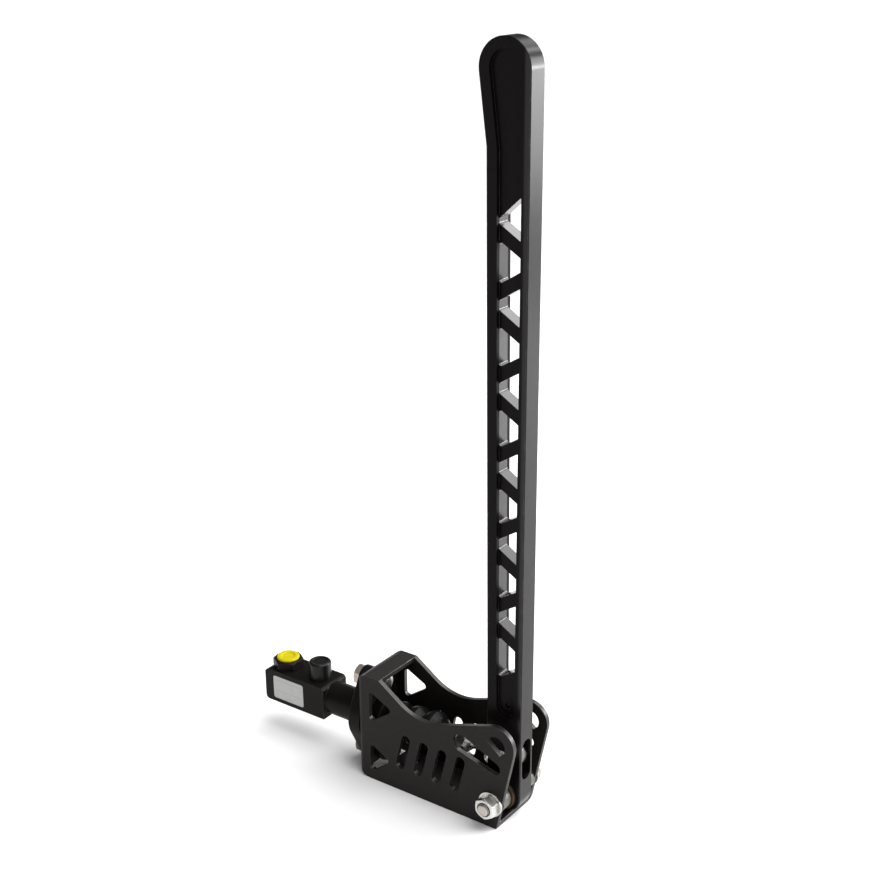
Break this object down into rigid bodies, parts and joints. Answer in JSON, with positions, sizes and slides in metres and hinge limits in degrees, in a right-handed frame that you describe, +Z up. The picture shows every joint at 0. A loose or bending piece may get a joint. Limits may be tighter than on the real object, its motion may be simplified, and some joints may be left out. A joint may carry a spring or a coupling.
{
  "type": "hydraulic parking brake lever",
  "caption": "Upright hydraulic hand brake: folded steel bracket, long machined lever with truss windows, and a flange-mounted master cylinder worked by a pushrod.",
  "frame": {"origin": "on the bracket's flat underside, straight below the lever's pivot axis, midway between the side plates", "axes": "+Z up along the lever, +X forward from the master cylinder towards the lever, Y across the side plates"},
  "size_m": [0.2137, 0.0589, 0.4844],
  "materials": {
    "bracket_coat": "satin",
    "lever_anodised": "satin",
    "zinc_steel": "satin",
    "plain_steel": "satin",
    "bronze": "satin",
    "cylinder_anodised": "satin",
    "yellow_plastic": "satin",
    "black_plastic": "satin",
    "label_paper": "satin",
    "plain_aluminium": "satin",
    "black_rubber": "matte"
  },
  "bodies": {
    "base": {"base_bracket": "bracket_coat", "pivot_bolt": "zinc_steel", "pivot_nut": "zinc_steel", "pivot_washers": "zinc_steel", "pivot_sleeve": "plain_steel", "pivot_spacers": "zinc_steel", "cylinder_body": "cylinder_anodised", "flange_bolts": "zinc_steel", "flange_washers": "zinc_steel", "flange_nuts": "zinc_steel", "outlet_adapter": "cylinder_anodised", "outlet_plug": "yellow_plastic", "inlet_nipple": "zinc_steel", "inlet_cap": "black_plastic", "block_label": "label_paper", "return_spring": "plain_steel", "stop_washer": "plain_steel", "circlip": "plain_steel", "rubber_boot": "black_rubber"},
    "lever_arm": {"lever": "lever_anodised", "pivot_bushes": "bronze", "rod_end_ball": "plain_steel", "cross_pin": "zinc_steel", "cross_pin_clip": "plain_steel"},
    "push_rod": {"pushrod": "zinc_steel", "jam_nut": "zinc_steel", "rod_end": "zinc_steel"},
    "piston_group": {"piston": "plain_aluminium", "primary_seal": "black_rubber", "secondary_seal": "black_rubber"}
  },
  "joints": [
    {"name": "lever_pivot", "type": "hinge", "parent": "base", "child": "lever_arm", "pos_m": [0, 0, 0.0176], "axis": [0, -1, 0], "range_deg": [0, 20]},
    {"name": "rod_end_pivot", "type": "hinge", "parent": "lever_arm", "child": "push_rod", "pos_m": [0, 0, 0.044], "axis": [0, -1, 0], "range_deg": [-21, 0]},
    {"name": "piston_slide", "type": "slide", "parent": "base", "child": "piston_group", "axis": [-1, 0, 0], "range_m": [0, 0.0092], "stiffness_N_per_m": 1500, "springref_m": -0.006, "deforming": ["return_spring", "rubber_boot"]}
  ],
  "couplings": [
    {"joint": "rod_end_pivot", "follows": "lever_pivot", "ratio": -1.033},
    {"joint": "piston_slide", "follows": "lever_pivot", "m_per_rad": 0.02606}
  ]
}
